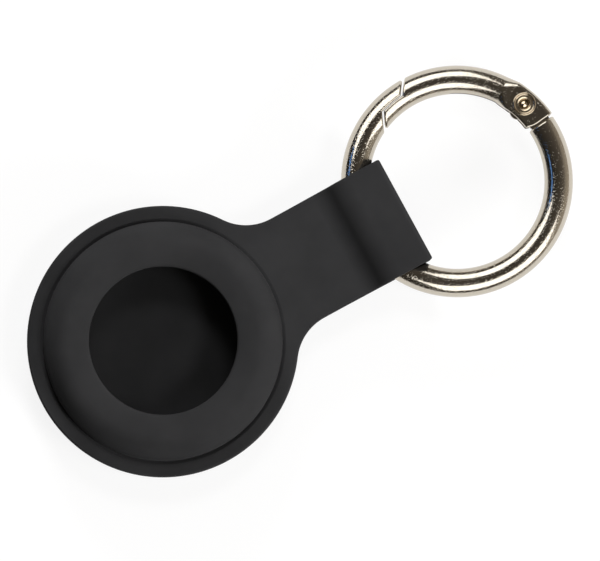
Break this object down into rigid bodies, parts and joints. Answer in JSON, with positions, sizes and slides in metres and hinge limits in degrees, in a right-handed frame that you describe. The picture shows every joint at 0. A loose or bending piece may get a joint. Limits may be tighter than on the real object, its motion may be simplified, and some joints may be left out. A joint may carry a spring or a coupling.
{
  "type": "tracker tag holder",
  "caption": "Soft round pocket for a coin-shaped tracker tag, with a window, a short strap and a spring gate ring held in a moulded sleeve.",
  "frame": {"origin": "on the pocket's axis, on the flat closed back face", "axes": "+X along the strap from the pocket to the ring, +Z out of the window, +Y to the left of +X"},
  "size_m": [0.0839, 0.0388, 0.0108],
  "materials": {
    "silicone": "charcoal silicone with a fine matt moulded surface",
    "plated_ring": "warm nickel plating on die-cast zinc, polished, lightly pitted",
    "rivet_steel": "nickel-plated steel rivet, clinched",
    "spring_steel": "bare spring steel wire"
  },
  "bodies": {
    "holder": {"holder": "silicone"},
    "ring": {"ring_body": "plated_ring", "gate_spring": "spring_steel"},
    "gate": {"gate": "plated_ring", "hinge_rivet": "rivet_steel"}
  },
  "joints": [
    {"name": "ring_turn", "type": "hinge", "parent": "holder", "child": "ring", "pos_m": [0.0479, 0, 0.0054], "axis": [0, 0, 1], "range_deg": [-140, 12]},
    {"name": "gate_swing", "type": "hinge", "parent": "ring", "child": "gate", "pos_m": [0.06153, 0.00507, 0.0054], "axis": [0, 0, 1], "range_deg": [0, 28], "stiffness_Nm_per_rad": 0.04, "springref_deg": -28.65, "deforming": ["gate_spring"]}
  ]
}
